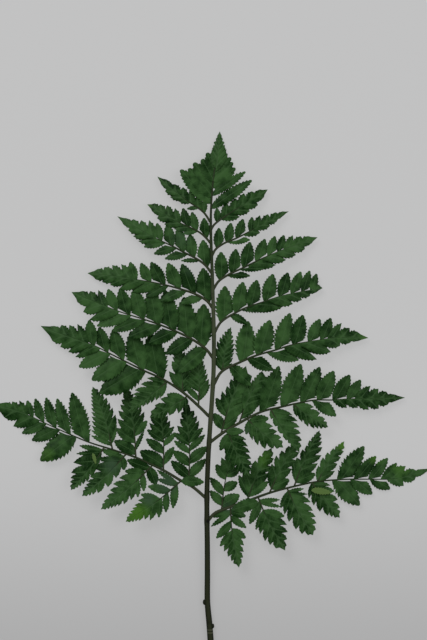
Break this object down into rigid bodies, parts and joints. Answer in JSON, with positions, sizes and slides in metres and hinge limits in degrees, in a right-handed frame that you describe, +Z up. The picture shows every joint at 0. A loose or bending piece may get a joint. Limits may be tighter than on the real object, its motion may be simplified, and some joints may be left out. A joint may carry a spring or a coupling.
{
  "type": "leatherleaf fern frond",
  "caption": "Cut leatherleaf fern frond laid flat: a triangular, feathery green frond of side branches with lobed leathery leaflets on one slim brown-green stem.",
  "frame": {"origin": "on the surface that the frond lies on, under the centre of its bounding box", "axes": "+Y along the stem towards the tip of the frond, +X towards the right-hand side branches as seen from above, +Z up out of the surface"},
  "size_m": [0.3347, 0.3947, 0.0163],
  "materials": {
    "frond": "dark green leathery leaf, semi-gloss, with an olive-brown stem"
  },
  "bodies": {
    "root": {"frond": "frond"}
  },
  "joints": []
}
